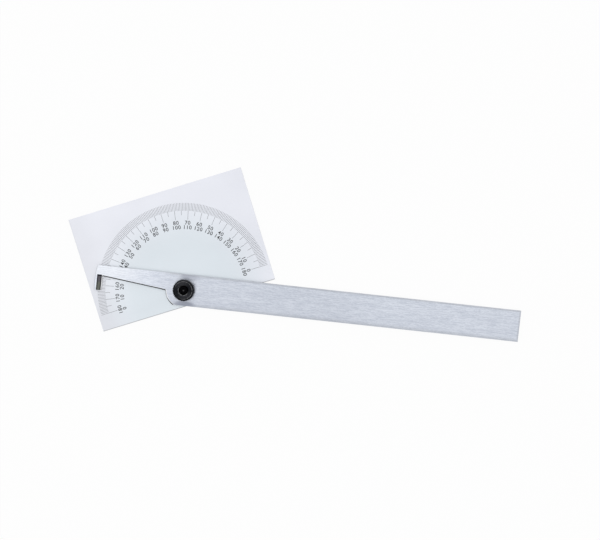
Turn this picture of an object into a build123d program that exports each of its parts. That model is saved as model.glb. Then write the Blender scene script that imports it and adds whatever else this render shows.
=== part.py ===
"""Steel protractor: a graduated head, a swinging blade with an index tail, and a knurled lock nut.

The origin is on the pivot axis in the plane of the head's back. X runs along the head's base edge,
Y towards its far edge, and Z out of its graduated face.
"""

import os
from math import cos, pi, radians, sin, sqrt

from build123d import *

# Head plate
plate_width = 80.0
plate_height = 52.0
plate_thickness = 1.0
pivot_to_base_edge = 7.25

# Graduations, engraved in the head
dial_span = 180
dial_edge_margin = 1.3
degree_tick_length = 3.5
five_tick_length = 5.5
ten_tick_length = 7.4
tick_width = 0.1
tick_depth = 0.04

# Blade
blade_reach = 150.0
blade_width = 14.0
blade_thickness = 1.2
rest_angle = 23.2
boss_overhang = 1.4
window_edge_radius = 0.6

# Index tail of the blade: a tapering tongue with a bevelled finger at its end
tongue_edge_at_finger = 2.25
tongue_edge_at_boss = -0.95
finger_land = 1.0
finger_bevel = 2.2
finger_edge_thickness = 0.15
finger_drop = 4.1
bevel_runout = 0.65
index_line_width = 0.12
index_line_depth = 0.04
tail_corner_radius = 0.8
finger_corner_radius = 0.3
window_corner_radius = 0.5

# Pivot stud, set flush in the back of the head
stud_head_diameter = 7.0
stud_head_thickness = 0.5
journal_diameter = 5.0
thread_diameter = 4.0
stud_below_nut_top = 0.8
stud_end_chamfer = 0.3
dimple_diameter = 1.0
dimple_depth = 0.5

# Friction shim between the head and the blade
shim_diameter = 12.0
shim_thickness = 0.2

# Curved spring washer under the nut
washer_diameter = 8.0
washer_thickness = 0.25
washer_crown = 0.15

# Thumb nut
nut_diameter = 9.7
nut_height = 2.9
nut_top_face_diameter = 7.8
nut_top_chamfer_height = 0.75
nut_foot_chamfer = 0.3
nut_bore_chamfer = 0.35
knurl_count = 40
knurl_depth = 0.3

# Clearances, all radial except the last
stake_clearance = 0.02
journal_clearance = 0.03
thread_clearance = 0.05
shim_clearance = 0.1
washer_clearance = 0.2
journal_below_blade_top = 0.1

# Heights of the stack on the pivot
blade_bottom = plate_thickness + shim_thickness
blade_top = blade_bottom + blade_thickness
nut_bottom = blade_top + washer_crown + washer_thickness
nut_top = nut_bottom + nut_height
stud_end = nut_top - stud_below_nut_top

# The blade lies at its rest angle below the base edge's direction.
blade_plane = Plane(
    origin=(0, 0, blade_bottom),
    x_dir=(cos(radians(rest_angle)), -sin(radians(rest_angle)), 0),
    z_dir=(0, 0, 1),
)

os.makedirs("parts", exist_ok=True)


# Head plate: a flat rectangle with the engraved dial and a stepped hole for the stud.
dial_radius = plate_width / 2 - dial_edge_margin

with BuildPart() as head_plate:
    with BuildSketch():
        with Locations((0, plate_height / 2 - pivot_to_base_edge)):
            Rectangle(plate_width, plate_height)
    extrude(amount=plate_thickness)

    with Locations(Plane(origin=(0, 0, 0), z_dir=(0, 0, -1))):
        CounterBoreHole(
            radius=journal_diameter / 2 + stake_clearance,
            counter_bore_radius=stud_head_diameter / 2 + stake_clearance,
            counter_bore_depth=stud_head_thickness,
        )

    # Every degree, every fifth and every tenth: the longer lines lie over the shorter ones.
    with BuildSketch(Plane.XY.offset(plate_thickness)):
        for step, length in ((1, degree_tick_length), (5, five_tick_length), (10, ten_tick_length)):
            with PolarLocations(
                dial_radius - length / 2,
                dial_span // step + 1,
                angular_range=dial_span,
                endpoint=True,
            ):
                Rectangle(length, tick_width)
    extrude(amount=-tick_depth, mode=Mode.SUBTRACT)

head_plate.part.label = "head_plate"
export_step(head_plate.part, "parts/head_plate.step")


# Pivot stud: flush head, plain journal for the blade, smaller end for the nut.
with BuildPart() as pivot_stud:
    with BuildSketch(Plane.XZ):
        with BuildLine():
            Polyline(
                (0, 0),
                (stud_head_diameter / 2, 0),
                (stud_head_diameter / 2, stud_head_thickness),
                (journal_diameter / 2, stud_head_thickness),
                (journal_diameter / 2, blade_top - journal_below_blade_top),
                (thread_diameter / 2, blade_top - journal_below_blade_top),
                (thread_diameter / 2, stud_end - stud_end_chamfer),
                (thread_diameter / 2 - stud_end_chamfer, stud_end),
                (dimple_diameter / 2, stud_end),
                (0, stud_end - dimple_depth),
                close=True,
            )
        make_face()
    revolve(axis=Axis.Z)

pivot_stud.part.label = "pivot_stud"
export_step(pivot_stud.part, "parts/pivot_stud.step")


# Friction shim: a thin ring that keeps the blade off the graduations.
with BuildPart() as friction_shim:
    with BuildSketch(Plane.XY.offset(plate_thickness)):
        Circle(shim_diameter / 2)
        Circle(journal_diameter / 2 + shim_clearance, mode=Mode.SUBTRACT)
    extrude(amount=shim_thickness)

friction_shim.part.label = "friction_shim"
export_step(friction_shim.part, "parts/friction_shim.step")


# Blade: a long straight bar, a round boss at the pivot, and the tail that reads the dial.
# The tail's end is an arc about the pivot, as far out as the side edges of the head.
half_width = blade_width / 2
tail_radius = plate_width / 2
boss_radius = half_width + boss_overhang
finger_inner_x = -(tail_radius - finger_land - finger_bevel)
finger_land_x = -(tail_radius - finger_land)

tail_corner = (-sqrt(tail_radius**2 - half_width**2), half_width)
finger_outer_end = (-sqrt(tail_radius**2 - finger_drop**2), -finger_drop)
finger_inner_end = (finger_inner_x, -finger_drop)
tongue_start = (finger_inner_x, tongue_edge_at_finger)
tongue_end = (-sqrt(boss_radius**2 - tongue_edge_at_boss**2), tongue_edge_at_boss)
boss_end = (-sqrt(boss_radius**2 - half_width**2), -half_width)
boss_side = (-boss_radius * cos(radians(35)), -boss_radius * sin(radians(35)))

with BuildPart() as blade:
    with BuildSketch(blade_plane) as outline:
        with BuildLine():
            Polyline(boss_end, (blade_reach, -half_width), (blade_reach, half_width), tail_corner)
            ThreePointArc(tail_corner, (-tail_radius, 0), finger_outer_end)
            Polyline(finger_outer_end, finger_inner_end, tongue_start, tongue_end)
            ThreePointArc(tongue_end, boss_side, boss_end)
        make_face()
        for corner, radius in (
            (tail_corner, tail_corner_radius),
            (finger_outer_end, finger_corner_radius),
            (finger_inner_end, finger_corner_radius),
            (tongue_end, window_corner_radius),
        ):
            fillet(outline.vertices().sort_by_distance(corner)[0], radius)
        Circle(journal_diameter / 2 + journal_clearance, mode=Mode.SUBTRACT)
    extrude(amount=blade_thickness)

    # Rounded edges along the tongue and round the boss
    tongue_middle = ((tongue_start[0] + tongue_end[0]) / 2, (tongue_start[1] + tongue_end[1]) / 2)
    window_edges = [
        blade.edges().sort_by_distance(blade_plane.from_local_coords((x, y, blade_thickness)))[0]
        for x, y in (tongue_middle, boss_side)
    ]
    fillet(window_edges, window_edge_radius)

    # The finger is bevelled down to a thin edge, so that its line lies close to the dial.
    bevel_end = blade_plane.from_local_coords((0, tongue_edge_at_finger + bevel_runout, 0))
    across_finger = Plane(origin=bevel_end, x_dir=blade_plane.x_dir, z_dir=-blade_plane.y_dir)
    with BuildSketch(across_finger):
        with BuildLine():
            Polyline(
                (finger_land_x, blade_thickness),
                (finger_inner_x, blade_thickness),
                (finger_inner_x, finger_edge_thickness),
                close=True,
            )
        make_face()
    extrude(amount=tongue_edge_at_finger + bevel_runout + finger_drop, mode=Mode.SUBTRACT)

    # Index line, engraved down the bevel on the blade's centreline
    line_side = blade_plane.from_local_coords((0, index_line_width / 2, 0))
    with BuildSketch(Plane(origin=line_side, x_dir=blade_plane.x_dir, z_dir=-blade_plane.y_dir)):
        with BuildLine():
            Polyline(
                (finger_land_x, blade_thickness),
                (finger_inner_x, finger_edge_thickness),
                (finger_inner_x, finger_edge_thickness - index_line_depth),
                (finger_land_x, blade_thickness - index_line_depth),
                close=True,
            )
        make_face()
    extrude(amount=index_line_width, mode=Mode.SUBTRACT)

blade.part.label = "blade"
export_step(blade.part, "parts/blade.step")


# Spring washer: a ring bent about one axis, resting on its two sides with its crown under the nut.
crown_radius = washer_diameter**2 / (8 * washer_crown) + washer_crown / 2
bend_centre = blade_top + washer_crown - crown_radius

with BuildPart() as spring_washer:
    with BuildSketch(Plane.XY.offset(blade_top)):
        Circle(washer_diameter / 2)
        Circle(thread_diameter / 2 + washer_clearance, mode=Mode.SUBTRACT)
    extrude(amount=washer_crown + washer_thickness)
    with BuildSketch(Plane.XZ):
        with Locations((0, bend_centre)):
            Circle(crown_radius + washer_thickness)
            Circle(crown_radius, mode=Mode.SUBTRACT)
    extrude(amount=washer_diameter, both=True, mode=Mode.INTERSECT)

spring_washer.part.label = "spring_washer"
export_step(spring_washer.part, "parts/spring_washer.step")


# Thumb nut: turned blank with a chamfered rim and bore, then straight knurling.
nut_radius = nut_diameter / 2
bore_radius = thread_diameter / 2 + thread_clearance
knurl_mouth = 0.8 * pi * nut_diameter / knurl_count

with BuildPart() as thumb_nut:
    with BuildSketch(Plane.XZ):
        with BuildLine():
            Polyline(
                (bore_radius + nut_bore_chamfer, nut_bottom),
                (nut_radius - nut_foot_chamfer, nut_bottom),
                (nut_radius, nut_bottom + nut_foot_chamfer),
                (nut_radius, nut_top - nut_top_chamfer_height),
                (nut_top_face_diameter / 2, nut_top),
                (bore_radius + nut_bore_chamfer, nut_top),
                (bore_radius, nut_top - nut_bore_chamfer),
                (bore_radius, nut_bottom + nut_bore_chamfer),
                close=True,
            )
        make_face()
    revolve(axis=Axis.Z)

    with BuildSketch(Plane.XY.offset(nut_bottom)):
        with PolarLocations(nut_radius, knurl_count, start_angle=180 / knurl_count):
            Polygon((-knurl_depth, 0), (0, -knurl_mouth / 2), (knurl_depth, 0), (0, knurl_mouth / 2), align=None)
    extrude(amount=nut_height, mode=Mode.SUBTRACT)

thumb_nut.part.label = "thumb_nut"
export_step(thumb_nut.part, "parts/thumb_nut.step")
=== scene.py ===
import math

import bpy
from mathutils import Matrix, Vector


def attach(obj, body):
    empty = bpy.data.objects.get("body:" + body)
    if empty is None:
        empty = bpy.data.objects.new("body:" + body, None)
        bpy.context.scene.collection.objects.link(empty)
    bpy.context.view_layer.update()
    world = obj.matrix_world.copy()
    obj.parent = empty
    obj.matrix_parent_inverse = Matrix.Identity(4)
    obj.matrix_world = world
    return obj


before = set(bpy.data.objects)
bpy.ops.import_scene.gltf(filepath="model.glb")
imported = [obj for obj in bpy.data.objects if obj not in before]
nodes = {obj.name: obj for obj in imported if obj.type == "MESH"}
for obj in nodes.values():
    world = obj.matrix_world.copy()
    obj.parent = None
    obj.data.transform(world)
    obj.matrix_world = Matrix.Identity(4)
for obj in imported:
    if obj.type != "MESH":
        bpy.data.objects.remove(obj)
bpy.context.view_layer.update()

scene = bpy.context.scene
mm = 0.001


# Camera, at the photograph's angle
cameraSettings = {
    "place": (0.05676, 0.01082, 0.44933),    # metres
    "turn": (-2.31, -0.05, -17.01),          # degrees
    "lens": 60.4719,
    "sensor": 36,
    "clip": (0.01, 20),
}
bpy.ops.object.camera_add(
    location=cameraSettings["place"],
    rotation=[math.radians(a) for a in cameraSettings["turn"]],
)
camera = bpy.context.object
camera.name = "viewCamera"
camera.data.lens = cameraSettings["lens"]
camera.data.sensor_width = cameraSettings["sensor"]
camera.data.clip_start, camera.data.clip_end = cameraSettings["clip"]
scene.camera = camera
scene.view_settings.view_transform = "Standard"
print("camera ready")


# Node helpers. Every pattern is laid out in millimetres on the object's own coordinates.
def newMaterial(name):
    material = bpy.data.materials.new(name)
    material.use_nodes = True
    tree = material.node_tree
    return material, tree, tree.nodes["Principled BSDF"]


def addNode(tree, kind, inputs=None, **settings):
    node = tree.nodes.new(kind)
    for name, value in settings.items():
        setattr(node, name, value)
    for key, value in (inputs or {}).items():
        if isinstance(value, bpy.types.NodeSocket):
            tree.links.new(value, node.inputs[key])
        else:
            node.inputs[key].default_value = value
    return node


def millimetres(tree, turn=0.0):
    place = addNode(tree, "ShaderNodeTexCoord").outputs["Object"]
    inputs = {"Vector": place, "Rotation": (0, 0, turn), "Scale": (1 / mm, 1 / mm, 1 / mm)}
    return addNode(tree, "ShaderNodeMapping", inputs).outputs["Vector"]


def stretch(tree, vector, scale, shift=(0, 0, 0)):
    inputs = {"Vector": vector, "Scale": scale, "Location": shift}
    return addNode(tree, "ShaderNodeMapping", inputs).outputs["Vector"]


def noise(tree, vector, scale=1.0, detail=2.0, rough=0.5):
    inputs = {"Vector": vector, "Scale": scale, "Detail": detail, "Roughness": rough}
    return addNode(tree, "ShaderNodeTexNoise", inputs).outputs["Fac"]


def spread(tree, value, fromLow, fromHigh, toLow=0.0, toHigh=1.0, smooth=False):
    inputs = {"Value": value, "From Min": fromLow, "From Max": fromHigh, "To Min": toLow, "To Max": toHigh}
    kind = "SMOOTHSTEP" if smooth else "LINEAR"
    return addNode(tree, "ShaderNodeMapRange", inputs, interpolation_type=kind).outputs["Result"]


def fade(tree, value, start, full):
    return spread(tree, value, start, full, smooth=True)


def calculate(tree, operation, *values):
    result = values[0]
    for value in values[1:] or (0.0,):
        result = addNode(tree, "ShaderNodeMath", {0: result, 1: value}, operation=operation).outputs[0]
    return result


def multiply(tree, *values):
    return calculate(tree, "MULTIPLY", *values)


def add(tree, *values):
    return calculate(tree, "ADD", *values)


def largest(tree, *values):
    return calculate(tree, "MAXIMUM", *values)


def mixColour(tree, factor, first, second, blend="MIX"):
    node = addNode(tree, "ShaderNodeMix", data_type="RGBA", blend_type=blend)
    for socket, value in ((node.inputs[0], factor), (node.inputs[6], first), (node.inputs[7], second)):
        if isinstance(value, bpy.types.NodeSocket):
            tree.links.new(value, socket)
        else:
            socket.default_value = value if isinstance(value, float) else (*value, 1.0)
    return node.outputs[2]


def axes(tree, vector):
    parts = addNode(tree, "ShaderNodeSeparateXYZ", {"Vector": vector})
    return parts.outputs[0], parts.outputs[1], parts.outputs[2]


def fromAxis(tree, vector):
    x, y = axes(tree, vector)[:2]
    return calculate(tree, "SQRT", add(tree, multiply(tree, x, x), multiply(tree, y, y)))


def facing(tree):
    return axes(tree, addNode(tree, "ShaderNodeTexCoord").outputs["Normal"])


def finishSurface(tree, shader, colour, rough, height, relief):
    strength, distance = relief
    inputs = {"Height": height, "Strength": strength, "Distance": distance}
    tree.links.new(colour, shader.inputs["Base Color"])
    tree.links.new(rough, shader.inputs["Roughness"])
    tree.links.new(addNode(tree, "ShaderNodeBump", inputs).outputs["Normal"], shader.inputs["Normal"])


def paint(node, material):
    for slot in node.material_slots:
        slot.material = material


# Blade: bright steel, brushed lengthwise, with painted shade and highlights at its edges, tail and nut. Places
# are in millimetres along the blade from the pivot, and across it from its middle. A pair is where a mark
# starts and where it is strongest.
bladeFinish = {
    "angle": math.radians(23.2),    # how far the blade lies below the base edge
    "light": (0.755, 0.795, 0.873),
    "dark": (0.546, 0.585, 0.668),
    "contrast": (0.42, 0.58),
    "brush": [    # fine, middle and broad lines: stretch, shift, detail, roughness and share
        ((1.0, 6, 6), (0, 0, 0), 3, 0.6, 0.48),
        ((0.2, 2.4, 2), (3, 1, 0), 3, 0.6, 0.4),
        ((0.035, 0.4, 0.4), (7, 2, 0), 2, 0.5, 0.12),
    ],
    "rough": (0.32, 0.42),
    "roughContrast": (0.35, 0.65),
    "relief": (0.35, 0.00003),
    "anisotropic": 0.85,

    # painted highlight on the tail
    "tailHighlightAlong": (-16, -29),
    "tailHighlightAcross": (0.5, 4),
    "tailHighlightShare": 0.26,

    # painted shade along the edges
    "edgeShade": (0.33, 0.34, 0.36),
    "edgeShadeShare": 0.36,
    "upperEdge": (5.9, 6.6),
    "upperEdgeFrom": (-10, -6),
    "lowerEdge": (-5.2, -6.9),
    "freeEnd": (149.0, 149.8),
    "tailEdge": (39.55, 39.95),     # out from the pivot
    "tailEdgeFrom": (-33, -35),
    "tailEdgeShare": 0.6,

    # painted shade colour, used round the pivot, along the blade and beside the nut
    "shadeTone": (0.25, 0.27, 0.34),
    "pivotShadeMiddle": (1.5, -2.5),
    "pivotShadeReach": (20, 7),
    "pivotShadeAcross": (6, 2),
    "pivotShadeShare": (0.06, 0.14),
    "midShadeMiddle": 38,
    "midShadeReach": (55, 25),
    "midShadeShare": 0.09,
    "lowerShadeAcross": (-1, -7),
    "lowerShadeAlong": (4, 9),
    "lowerShadeShare": 0.06,
    "nutShadePatches": [(2.2, 5.9, 0.36), (0.8, -6.3, 0.78)],    # painted shade of the nut: along, across, strength
    "patchFade": (0.2, 0.62),       # how quickly a patch fades along and across
    "patchReach": (1.3, 0.2),
    "patchGrain": (0.2, 0.5, 0.3, 1.0),

    # painted highlight colour
    "highlightTone": (0.95, 0.96, 0.98),
    "ridgeSlope": (0.999, 0.98),    # slopes: how much of the face's direction points up
    # the walls' painted shade; litWall is their lit side
    "wall": (0.30, 0.31, 0.33),
    "litWall": (0.70, 0.71, 0.73),
    "litFacing": (0.0, 0.5),        # facings: how much of it points to the head's far edge
    "wallSlope": (0.76, 0.5),
    # near-black painted shadow on the wall below the tongue
    "tongueShadow": (0.008, 0.009, 0.012),
    "tongueFacing": (-0.04, -0.2),
    "tongueSlope": (0.99, 0.96),
    "tongueEnd": (1.0, 0.0),
}

# Bevel of the blade's finger, placed in the same way: a painted dark reflection in two tints, painted shade
# along its rim and a painted highlight on its thin edge
bevelFinish = {
    # painted dark reflection, in two tints
    "upper": (0.125, 0.12, 0.135),
    "lower": (0.15, 0.16, 0.14),
    "lowerFrom": (0.6, -1.4),
    # painted shade along the bevel's rim
    "rim": (0.01, 0.01, 0.016),
    "upperRim": (1.9, 2.5),
    "landRimOuter": (-38.95, -38.75),
    "landRimInner": (-38.45, -38.65),
    "footRim": (-37.60, -37.35),
    "lip": (-37.10, -37.02),
    "end": (-36.4, -36.6),
    "leastSlope": (0.96, 0.92),
    "mostSlope": (0.5, 0.6),
}


def bevelColour(tree, along, across):
    b = bevelFinish
    colour = mixColour(tree, fade(tree, across, *b["lowerFrom"]), b["upper"], b["lower"])
    landRim = multiply(tree, spread(tree, along, *b["landRimOuter"]), spread(tree, along, *b["landRimInner"]))
    rim = largest(tree, spread(tree, across, *b["upperRim"]), landRim, spread(tree, along, *b["footRim"]))
    colour = mixColour(tree, rim, colour, b["rim"])
    lip = spread(tree, along, *b["lip"])    # painted highlight on the thin edge
    return mixColour(tree, lip, colour, bladeFinish["highlightTone"])


def bladeSteel():
    b = bladeFinish
    material, tree, shader = newMaterial("brushedBladeSteel")
    spot = millimetres(tree, b["angle"])
    along, across = axes(tree, spot)[:2]
    lines, shares = [], []
    for scale, shift, detail, roughness, share in b["brush"]:
        lines.append(noise(tree, stretch(tree, spot, scale, shift), detail=detail, rough=roughness))
        shares.append(multiply(tree, lines[-1], share))
    fine, middle = lines[:2]
    streaks = add(tree, *shares)
    colour = mixColour(tree, spread(tree, streaks, *b["contrast"]), b["dark"], b["light"])

    # painted highlight on the tail
    tailHighlight = spread(tree, across, *b["tailHighlightAcross"], 0.0, b["tailHighlightShare"])
    tailHighlight = multiply(tree, fade(tree, along, *b["tailHighlightAlong"]), tailHighlight)
    colour = mixColour(tree, tailHighlight, colour, b["highlightTone"])

    # a fine line of painted shade along the two long edges, the free end and the tail's arc
    upper = multiply(tree, fade(tree, across, *b["upperEdge"]), spread(tree, along, *b["upperEdgeFrom"]))
    edgeShade = largest(tree, upper, fade(tree, across, *b["lowerEdge"]), fade(tree, along, *b["freeEnd"]))
    tailArc = fade(tree, fromAxis(tree, spot), *b["tailEdge"])
    tailArc = multiply(tree, tailArc, spread(tree, along, *b["tailEdgeFrom"]), b["tailEdgeShare"])
    edgeShade = largest(tree, multiply(tree, edgeShade, b["edgeShadeShare"]), tailArc)
    colour = mixColour(tree, edgeShade, colour, b["edgeShade"])

    # painted shade round the pivot, in a broad band along the blade and along its lower edge
    pivotX, pivotY = b["pivotShadeMiddle"]
    nearPivot = fromAxis(tree, stretch(tree, spot, (1, 1, 1), (-pivotX, -pivotY, 0)))
    paintedShade = spread(tree, across, *b["pivotShadeAcross"], *b["pivotShadeShare"])
    paintedShade = multiply(tree, fade(tree, nearPivot, *b["pivotShadeReach"]), paintedShade)
    fromMidShade = calculate(tree, "ABSOLUTE", add(tree, along, -b["midShadeMiddle"]))
    paintedShade = largest(tree, paintedShade, spread(tree, fromMidShade, *b["midShadeReach"], 0.0, b["midShadeShare"], smooth=True))
    lower = spread(tree, across, *b["lowerShadeAcross"], 0.0, b["lowerShadeShare"])
    paintedShade = add(tree, paintedShade, multiply(tree, lower, spread(tree, along, *b["lowerShadeAlong"])))
    colour = mixColour(tree, paintedShade, colour, b["shadeTone"])

    # painted shade of the nut on both sides of it: its shadow below and its dark reflection above
    for patchX, patchY, strength in b["nutShadePatches"]:
        offX = multiply(tree, add(tree, along, -patchX), b["patchFade"][0])
        offY = multiply(tree, add(tree, across, -patchY), b["patchFade"][1])
        away = add(tree, multiply(tree, offX, offX), multiply(tree, offY, offY))
        grain = spread(tree, middle, *b["patchGrain"])
        nutShade = multiply(tree, fade(tree, away, *b["patchReach"]), grain, strength)
        colour = mixColour(tree, nutShade, colour, b["shadeTone"])

    # painted highlight on the rounded window edges; the walls get painted shade, lighter where they face the
    # head's far edge, and the wall below the tongue a near-black painted shadow
    front, up = facing(tree)[1:]
    colour = mixColour(tree, fade(tree, up, *b["ridgeSlope"]), colour, b["highlightTone"])
    wall = mixColour(tree, spread(tree, front, *b["litFacing"]), b["wall"], b["litWall"])
    colour = mixColour(tree, fade(tree, up, *b["wallSlope"]), colour, wall)
    tongueShadowMask = multiply(tree, spread(tree, front, *b["tongueFacing"]), fade(tree, up, *b["tongueSlope"]))
    tongueShadowMask = multiply(tree, tongueShadowMask, spread(tree, along, *b["tongueEnd"]))
    colour = mixColour(tree, tongueShadowMask, colour, b["tongueShadow"])

    # the finger's bevel gets a painted dark reflection, with painted shade along its rim
    bevel = bevelColour(tree, along, across)
    steep = [spread(tree, up, *bevelFinish[limit]) for limit in ("leastSlope", "mostSlope")]
    colour = mixColour(tree, multiply(tree, spread(tree, along, *bevelFinish["end"]), *steep), colour, bevel)

    rough = spread(tree, streaks, *b["roughContrast"], *b["rough"])
    finishSurface(tree, shader, colour, rough, add(tree, fine, middle), b["relief"])
    shader.inputs["Metallic"].default_value = 1.0
    shader.inputs["Anisotropic"].default_value = b["anisotropic"]

    # a brushed face spreads its shine across the lines
    turned = {"vector_type": "VECTOR", "convert_from": "OBJECT", "convert_to": "WORLD"}
    crosswise = addNode(tree, "ShaderNodeVectorTransform", **turned)
    crosswise.inputs[0].default_value = (math.sin(b["angle"]), math.cos(b["angle"]), 0)
    tree.links.new(crosswise.outputs[0], shader.inputs["Tangent"])
    return material


# Lines of the dial, in millimetres: their ink is modelled further down, and the head is stained beside them
dialLines = {
    "outerRadius": 38.7,
    "lengths": {10: 7.4, 5: 5.5, 1: 3.5},    # by the degrees from one line to the next
    "width": 0.098,
    "bottom": 0.955,
    "top": 0.993,
    "hollow": 0.008,    # how far the ink has sunk along the middle
    "rim": 0.02,
}

# Head: satin steel, with a fine even grain, and painted shade that darkens the middle round the pivot. Places
# are in millimetres from the pivot.
headFinish = {
    "border": (0.775, 0.79, 0.85),
    # painted shade in the middle, round the pivot
    "shadedField": (0.685, 0.737, 0.785),
    "shadedFieldReach": (20, 44),
    "grainScale": 5.5,
    "cloudStretch": (0.03, 0.045, 0.05),
    "cloudShift": (2, 5, 0),
    "cloudMix": (0.4, 0.6),         # of the grain and of the clouds
    "cloud": 0.045,
    "contrast": (0.3, 0.7),
    "rough": (0.44, 0.54),
    "relief": (0.25, 0.00001),

    "stain": (0.16, 0.165, 0.18),
    "stainHalfWidth": (0.095, 0.05),
    "stainBlur": 0.04,
    "stainBase": (-0.2, -0.1),
    "stainGrain": (0.3, 0.6, 0.25, 0.65),

    "wall": (0.42, 0.43, 0.45),
    "wallSlope": (0.8, 0.3),        # how much of the face's direction points up or down
    # painted shade along the base edge and the left one
    "baseEdge": (-6.78, -7.05),
    "baseEdgeShare": 0.85,
    "leftEdge": (-39.3, -39.8),
    "leftEdgeShare": 0.22,
    "leftDarkening": (-26, -39),
    "leftDarkeningUp": (45, 0),
    "leftDarkeningShare": (0.1, 0.22),
}


def lineStain(tree, grain, across, up, radius):
    h = headFinish
    degrees = multiply(tree, calculate(tree, "ARCTAN2", up, across), 180 / math.pi)
    outer = dialLines["outerRadius"]
    stain = None
    for step, length in dialLines["lengths"].items():
        steps = add(tree, calculate(tree, "DIVIDE", degrees, step), 200.5)    # half a step on, and above zero
        off = calculate(tree, "ABSOLUTE", add(tree, calculate(tree, "FRACT", steps), -0.5))
        off = multiply(tree, off, radius, math.radians(step))
        inner = spread(tree, radius, outer - length - h["stainBlur"], outer - length + h["stainBlur"])
        line = multiply(tree, fade(tree, off, *h["stainHalfWidth"]), inner)
        stain = line if stain is None else largest(tree, stain, line)
    outside = spread(tree, radius, outer + h["stainBlur"], outer - h["stainBlur"])
    aboveBase = spread(tree, up, *h["stainBase"])
    return multiply(tree, stain, outside, aboveBase, spread(tree, grain, *h["stainGrain"]))


def headSteel():
    h = headFinish
    material, tree, shader = newMaterial("satinHeadSteel")
    spot = millimetres(tree)
    across, up = axes(tree, spot)[:2]
    radius = fromAxis(tree, spot)
    grain = noise(tree, spot, scale=h["grainScale"], detail=3)
    cloud = noise(tree, stretch(tree, spot, h["cloudStretch"], h["cloudShift"]), detail=2)
    mixed = add(tree, multiply(tree, grain, h["cloudMix"][0]), multiply(tree, cloud, h["cloudMix"][1]))
    # painted shade: darker in the middle round the pivot, lighter at the border
    colour = mixColour(tree, fade(tree, radius, *h["shadedFieldReach"]), h["shadedField"], h["border"])
    uneven = spread(tree, mixed, *h["contrast"], 1 - h["cloud"], 1 + h["cloud"])
    uneven = addNode(tree, "ShaderNodeCombineXYZ", {0: uneven, 1: uneven, 2: uneven}).outputs[0]
    colour = mixColour(tree, 1.0, colour, uneven, "MULTIPLY")

    # a thin stain beside each etched line, longer at the fives and tens
    colour = mixColour(tree, lineStain(tree, grain, across, up, radius), colour, h["stain"])

    # sheared sides, a hairline of painted shade along the base edge and the left one, and darker towards the
    # left end
    wall = spread(tree, calculate(tree, "ABSOLUTE", facing(tree)[2]), *h["wallSlope"])
    baseEdgeShade = multiply(tree, fade(tree, up, *h["baseEdge"]), h["baseEdgeShare"])
    leftEdgeShade = multiply(tree, fade(tree, across, *h["leftEdge"]), h["leftEdgeShare"])
    # darker towards the left end
    leftDark = spread(tree, up, *h["leftDarkeningUp"], *h["leftDarkeningShare"])
    leftDark = multiply(tree, fade(tree, across, *h["leftDarkening"]), leftDark)
    colour = mixColour(tree, largest(tree, wall, baseEdgeShade, leftEdgeShade, leftDark), colour, h["wall"])

    rough = spread(tree, grain, *h["contrast"], *h["rough"])
    finishSurface(tree, shader, colour, rough, grain, h["relief"])
    shader.inputs["Metallic"].default_value = 1.0
    return material


# Nut and stud: blackened steel, with painted highlights on their rims and a painted sheen on two sides of the
# nut
oxideFinish = {
    "nut": ((0.005, 0.006, 0.008), (0.017, 0.018, 0.021)),
    # painted sheen on two sides of the nut
    "nutSheen": ((0.016, 0.017, 0.020), (0.036, 0.037, 0.042)),
    # the stud is black oxide, darkened further with painted shade of the bore round its end
    "stud": ((0.001, 0.001, 0.001), (0.004, 0.004, 0.005)),
    # painted highlight colour
    "rimHighlightTone": (0.26, 0.265, 0.275),
    "nutHighlights": [    # radius, width and strength, and the way in degrees that the painted highlight faces
        (3.9, 0.2, 0.7, 310),
        (3.9, 0.18, 0.6, 75),
        (2.22, 0.28, 1.0, 250),
        (2.22, 0.25, 0.8, 130),
        (4.8, 0.16, 0.6, 70),
    ],
    "studHighlights": [(0.1, 0.5, 1.0, None), (1.8, 0.12, 0.1, None)],    # painted highlights; None: all round
    "rimSpread": (0.1, 0.8),
    "mottleScale": 2.2,
    "mottle": (0.38, 0.62),
    "sheenSides": (0.35, 0.95),
    "rimPatchScale": 1.1,
    "rimPatches": (0.36, 0.52),
    "least": 0.5,       # smallest radius to divide by
    "rough": (0.26, 0.42),
    "roughContrast": (0.3, 0.7),
    "relief": (0.3, 0.00003),
}


def blackOxide(name, tones, rimHighlights, sheenTones=None):
    o = oxideFinish
    material, tree, shader = newMaterial(name)
    spot = millimetres(tree)
    x, y = axes(tree, spot)[:2]
    radius = fromAxis(tree, spot)
    mottle = noise(tree, spot, scale=o["mottleScale"], detail=4, rough=0.6)
    colour = mixColour(tree, spread(tree, mottle, *o["mottle"]), *tones)
    if sheenTones:    # painted sheen: two opposite sides are lighter
        sides = calculate(tree, "DIVIDE", calculate(tree, "ABSOLUTE", y), largest(tree, radius, o["least"]))
        sheenColour = mixColour(tree, spread(tree, mottle, *o["mottle"]), *sheenTones)
        colour = mixColour(tree, fade(tree, sides, *o["sheenSides"]), colour, sheenColour)
    rimPatches = spread(tree, noise(tree, spot, scale=o["rimPatchScale"], detail=3), *o["rimPatches"])
    # painted highlights on the rims, broken into patches
    for ring, width, strength, side in rimHighlights:
        away = calculate(tree, "ABSOLUTE", calculate(tree, "SUBTRACT", radius, ring))
        mask = multiply(tree, fade(tree, away, width, 0.0), rimPatches)
        if side is not None:
            way = math.radians(side)
            size = max(ring, o["least"])
            shareX, shareY = math.cos(way) / size, math.sin(way) / size
            towards = add(tree, multiply(tree, x, shareX), multiply(tree, y, shareY))
            mask = multiply(tree, mask, spread(tree, towards, *o["rimSpread"]))
        colour = mixColour(tree, multiply(tree, mask, strength), colour, o["rimHighlightTone"])
    rough = spread(tree, mottle, *o["roughContrast"], *o["rough"])
    finishSurface(tree, shader, colour, rough, mottle, o["relief"])
    shader.inputs["Metallic"].default_value = 1.0
    return material


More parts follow.
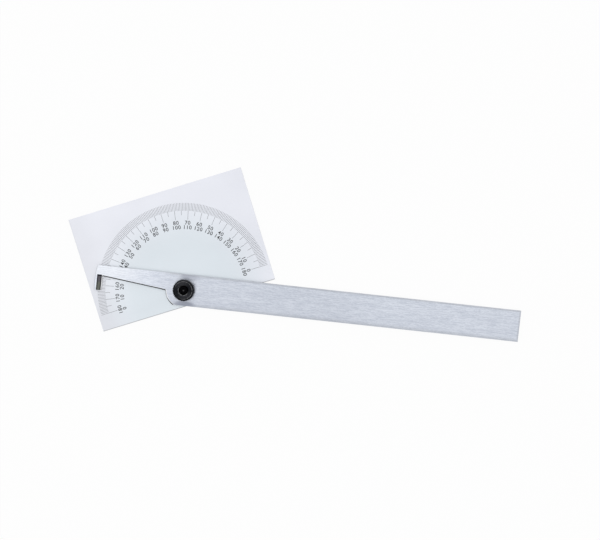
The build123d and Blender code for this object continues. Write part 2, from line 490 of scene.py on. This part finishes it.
# Shim and spring washer: plain rolled steel
rolledFinish = {
    "shimSteel": {"dark": (0.45, 0.46, 0.47), "light": (0.62, 0.63, 0.64), "rough": (0.3, 0.45)},
    "springSteel": {"dark": (0.20, 0.20, 0.22), "light": (0.32, 0.32, 0.34), "rough": (0.3, 0.5)},
    "stretch": (0.6, 7, 7),
    "contrast": (0.35, 0.65),
    "roughContrast": (0.3, 0.7),
    "relief": (0.3, 0.00001),
}


def rolledSteel(name):
    r = rolledFinish
    tones = r[name]
    material, tree, shader = newMaterial(name)
    lines = noise(tree, stretch(tree, millimetres(tree), r["stretch"]), detail=3)
    colour = mixColour(tree, spread(tree, lines, *r["contrast"]), tones["dark"], tones["light"])
    rough = spread(tree, lines, *r["roughContrast"], *tones["rough"])
    finishSurface(tree, shader, colour, rough, lines, r["relief"])
    shader.inputs["Metallic"].default_value = 1.0
    return material


# Ink in the lines and for the numbers
inkFinish = {
    "etchedLineInk": ((0.015, 0.015, 0.018), (0.05, 0.05, 0.056)),
    "numberInk": ((0.012, 0.012, 0.014), (0.04, 0.04, 0.044)),
    "scale": 14,
    "contrast": (0.35, 0.7),
    "rough": (0.45, 0.65),
    "roughContrast": (0.3, 0.7),
    "relief": (0.2, 0.000004),
}


def lineInk(name):
    i = inkFinish
    material, tree, shader = newMaterial(name)
    specks = noise(tree, millimetres(tree), scale=i["scale"], detail=3, rough=0.6)
    colour = mixColour(tree, spread(tree, specks, *i["contrast"]), *i[name])
    rough = spread(tree, specks, *i["roughContrast"], *i["rough"])
    finishSurface(tree, shader, colour, rough, specks, i["relief"])
    return material


paint(nodes["blade"], bladeSteel())
paint(nodes["head_plate"], headSteel())
nutHighlights, studHighlights = oxideFinish["nutHighlights"], oxideFinish["studHighlights"]
paint(nodes["thumb_nut"], blackOxide("blackNut", oxideFinish["nut"], nutHighlights, oxideFinish["nutSheen"]))
paint(nodes["pivot_stud"], blackOxide("blackStud", oxideFinish["stud"], studHighlights))
paint(nodes["friction_shim"], rolledSteel("shimSteel"))
paint(nodes["spring_washer"], rolledSteel("springSteel"))
lineMaterial = lineInk("etchedLineInk")
numberMaterial = lineInk("numberInk")
print("materials ready")


# Modelling helpers
def deselectAll():
    bpy.ops.object.select_all(action="DESELECT")


def takeOnly(piece):
    deselectAll()
    piece.select_set(True)
    bpy.context.view_layer.objects.active = piece


def editMode(on):
    bpy.ops.object.mode_set(mode="EDIT" if on else "OBJECT")


def applyPlace(piece):
    takeOnly(piece)
    bpy.ops.object.transform_apply(location=True, rotation=True, scale=True)


def turnAbout(piece, degrees):
    piece.rotation_euler = (0, 0, math.radians(degrees))
    applyPlace(piece)


def sinkTop(piece, rim, depth):
    editMode(True)
    bpy.ops.mesh.select_mode(type="FACE")
    bpy.ops.mesh.select_all(action="DESELECT")
    editMode(False)
    for face in piece.data.polygons:
        face.select = face.normal.z > 0.9    # faces that point up
    editMode(True)
    bpy.ops.mesh.inset(thickness=rim * mm)
    bpy.ops.transform.translate(value=(0, 0, -depth * mm))
    editMode(False)


def joinInto(pieces, name):
    deselectAll()
    for piece in pieces:
        piece.select_set(True)
    bpy.context.view_layer.objects.active = pieces[0]
    bpy.ops.object.join()
    piece = bpy.context.object
    piece.name = name
    return piece


def finishPiece(piece, name, material, body):
    piece.name = name
    piece.data.name = name
    piece.data.materials.clear()
    piece.data.materials.append(material)
    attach(piece, body)


# Ink in the dial's lines: one line is modelled and copied round the dial
def makeLine(name, step):
    d = dialLines
    length = d["lengths"][step]
    middle = d["outerRadius"] - length / 2
    deselectAll()
    bpy.ops.mesh.primitive_cube_add(size=1, location=(middle * mm, 0, (d["bottom"] + d["top"]) / 2 * mm))
    line = bpy.context.object
    line.name = name
    line.scale = (length * mm, d["width"] * mm, (d["top"] - d["bottom"]) * mm)
    applyPlace(line)
    sinkTop(line, d["rim"], d["hollow"])
    return line


def copyRound(piece, step, count):
    takeOnly(piece)
    editMode(True)
    bpy.ops.mesh.select_all(action="SELECT")
    turn = -math.radians(step * count)    # spin counts clockwise
    bpy.ops.mesh.spin(steps=count, dupli=True, angle=turn, center=(0, 0, 0), axis=(0, 0, 1))
    editMode(False)


tenLine = makeLine("tenLine", 10)
copyRound(tenLine, 10, 18)

fiveLine = makeLine("fiveLine", 5)
turnAbout(fiveLine, 5)
copyRound(fiveLine, 10, 17)

oneLine = makeLine("oneLine", 1)
turnAbout(oneLine, 1)
copyRound(oneLine, 1, 3)      # degrees 1 to 4
copyRound(oneLine, 5, 1)      # and 6 to 9
copyRound(oneLine, 10, 17)    # and so on round the dial

dialInk = joinInto([tenLine, fiveLine, oneLine], "dialInk")
finishPiece(dialInk, "dialInk", lineMaterial, "head")
print("dial lines ready:", len(dialInk.data.polygons), "faces")


# Numbers: the outer row counts from the right, the inner row from the left
dialNumbers = {
    "height": 1.68,
    "digitShare": 0.7,    # a digit's height in type of size 1
    "rows": {"outerNumbers": 29.85, "innerNumbers": 27.8},    # radius of each row
    "face": 1.0,          # height of the head's face
    "bold": 0.03,         # added all round each stroke
    "spacing": 1.12,
    "proud": 0.008,
    "last": 180,
    "step": 10,
    "resolution": 4,
}


def makeNumber(value, degrees, radius):
    d = dialNumbers
    deselectAll()
    bpy.ops.object.text_add(location=(0, 0, 0))
    number = bpy.context.object
    number.data.body = str(value)
    number.data.align_x = "CENTER"
    number.data.align_y = "CENTER"
    number.data.size = d["height"] / d["digitShare"] * mm
    number.data.offset = d["bold"] * mm
    number.data.space_character = d["spacing"]
    number.data.resolution_u = d["resolution"]
    number.data.extrude = d["proud"] * mm
    bpy.ops.object.convert(target="MESH")
    number = bpy.context.object
    angle = math.radians(degrees)
    number.location = (radius * math.cos(angle) * mm, radius * math.sin(angle) * mm, d["face"] * mm)
    number.rotation_euler = (0, 0, angle - math.pi / 2)
    applyPlace(number)
    return number


for rowName, radius in dialNumbers["rows"].items():
    made = []
    for degrees in range(0, dialNumbers["last"] + 1, dialNumbers["step"]):
        value = degrees if rowName == "outerNumbers" else dialNumbers["last"] - degrees
        made.append(makeNumber(value, degrees, radius))
    row = joinInto(made, rowName)
    finishPiece(row, rowName, numberMaterial, "head")
    print(rowName, "ready:", len(row.data.polygons), "faces")


# Index line down the finger's bevel
indexLine = {
    "start": (-38.98, 2.392),    # along the blade and height, at the land
    "end": (-36.82, 1.362),      # at the thin edge
    "width": 0.116,
    "depth": 0.034,
    "sunk": 0.024,               # its middle lies this far under the bevel
    "rim": 0.02,
    "hollow": 0.006,
}


def makeIndexLine():
    d = indexLine
    (x0, z0), (x1, z1) = d["start"], d["end"]
    length = math.hypot(x1 - x0, z1 - z0)
    slope = math.atan2(z0 - z1, x1 - x0)
    deselectAll()
    bpy.ops.mesh.primitive_cube_add(size=1)
    line = bpy.context.object
    line.scale = (length * mm, d["width"] * mm, d["depth"] * mm)
    applyPlace(line)
    sinkTop(line, d["rim"], d["hollow"])
    line.rotation_euler = (0, slope, 0)
    line.location = ((x0 + x1) / 2 * mm, 0, ((z0 + z1) / 2 - d["sunk"]) * mm)
    applyPlace(line)
    turnAbout(line, -math.degrees(bladeFinish["angle"]))
    return line


finishPiece(makeIndexLine(), "indexLineInk", numberMaterial, "blade")
print("index line ready")


# Floor and studio light
stageSettings = {
    "floorSize": 12.0,
    "floorHeight": -0.00005,
    "floorTone": (0.95, 0.95, 0.95),
    "whiteShare": 0.95,     # how much of the floor's look is plain white, to the camera and in reflections
    "worldGlow": 0.75,
    "key": {"place": (-0.205, 0.02, 0.62), "size": (0.09, 0.60), "glow": 1.05, "colour": (1.0, 0.965, 0.90)},
    "cardTone": (0.01, 0.01, 0.01),
    "cards": [              # black cards beside the part, seen only in its reflections
        {"place": (-0.10, -0.55, 0.10), "size": (1.6, 0.20)},
        {"place": (-0.60, -0.05, 0.09), "size": (1.2, 0.18)},
    ],
    "rough": 0.9,
}


def mattMaterial(name, tone):
    material, tree, shader = newMaterial(name)
    shader.inputs["Base Color"].default_value = (*tone, 1)
    shader.inputs["Roughness"].default_value = stageSettings["rough"]
    return material, tree, shader


def seenWhite(tree):
    path = addNode(tree, "ShaderNodeLightPath")
    return largest(tree, *[path.outputs[f"Is {kind} Ray"] for kind in ("Camera", "Glossy", "Transmission")])


def aimAt(piece, target):
    way = Vector(target) - piece.location
    piece.rotation_euler = way.to_track_quat("-Z", "Y").to_euler()


world = bpy.data.worlds.new("studioWorld")
scene.world = world
world.use_nodes = True
worldTree = world.node_tree
glow = worldTree.nodes["Background"]
glow.inputs["Color"].default_value = (1, 1, 1, 1)
glow.inputs["Strength"].default_value = stageSettings["worldGlow"]
white = addNode(worldTree, "ShaderNodeBackground", {"Color": (1, 1, 1, 1), "Strength": 1.0})
blendInputs = {0: seenWhite(worldTree), 1: glow.outputs[0], 2: white.outputs[0]}
blend = addNode(worldTree, "ShaderNodeMixShader", blendInputs)
worldTree.links.new(blend.outputs[0], worldTree.nodes["World Output"].inputs["Surface"])

deselectAll()
floorPlace = (0, 0, stageSettings["floorHeight"])
bpy.ops.mesh.primitive_plane_add(size=stageSettings["floorSize"], location=floorPlace)
floor = bpy.context.object
floor.name = "studioFloor"
floorMaterial, floorTree, floorShader = mattMaterial("floorCard", stageSettings["floorTone"])
shine = addNode(floorTree, "ShaderNodeEmission", {"Color": (1, 1, 1, 1), "Strength": 1.0})
share = multiply(floorTree, seenWhite(floorTree), stageSettings["whiteShare"])
cover = addNode(floorTree, "ShaderNodeMixShader", {0: share, 1: floorShader.outputs[0], 2: shine.outputs[0]})
floorTree.links.new(cover.outputs[0], floorTree.nodes["Material Output"].inputs["Surface"])
floor.data.materials.append(floorMaterial)

key = stageSettings["key"]
bpy.ops.object.light_add(type="AREA", location=key["place"])
lamp = bpy.context.object
lamp.name = "keyLight"
lamp.data.shape = "RECTANGLE"
lamp.data.size, lamp.data.size_y = key["size"]
lamp.data.color = key["colour"]
lamp.data.energy = key["glow"] * math.pi * key["size"][0] * key["size"][1]    # glow 1 is as bright as white
lamp.visible_camera = False

cardMaterial = mattMaterial("blackCard", stageSettings["cardTone"])[0]
for count, settings in enumerate(stageSettings["cards"]):
    bpy.ops.mesh.primitive_plane_add(size=1, location=settings["place"])
    card = bpy.context.object
    card.name = f"blackCard{count}"
    card.scale = (*settings["size"], 1)
    aimAt(card, (0, 0, 0))
    card.data.materials.append(cardMaterial)
    card.visible_camera = False
    card.visible_diffuse = False
    card.visible_shadow = False
print("stage ready")
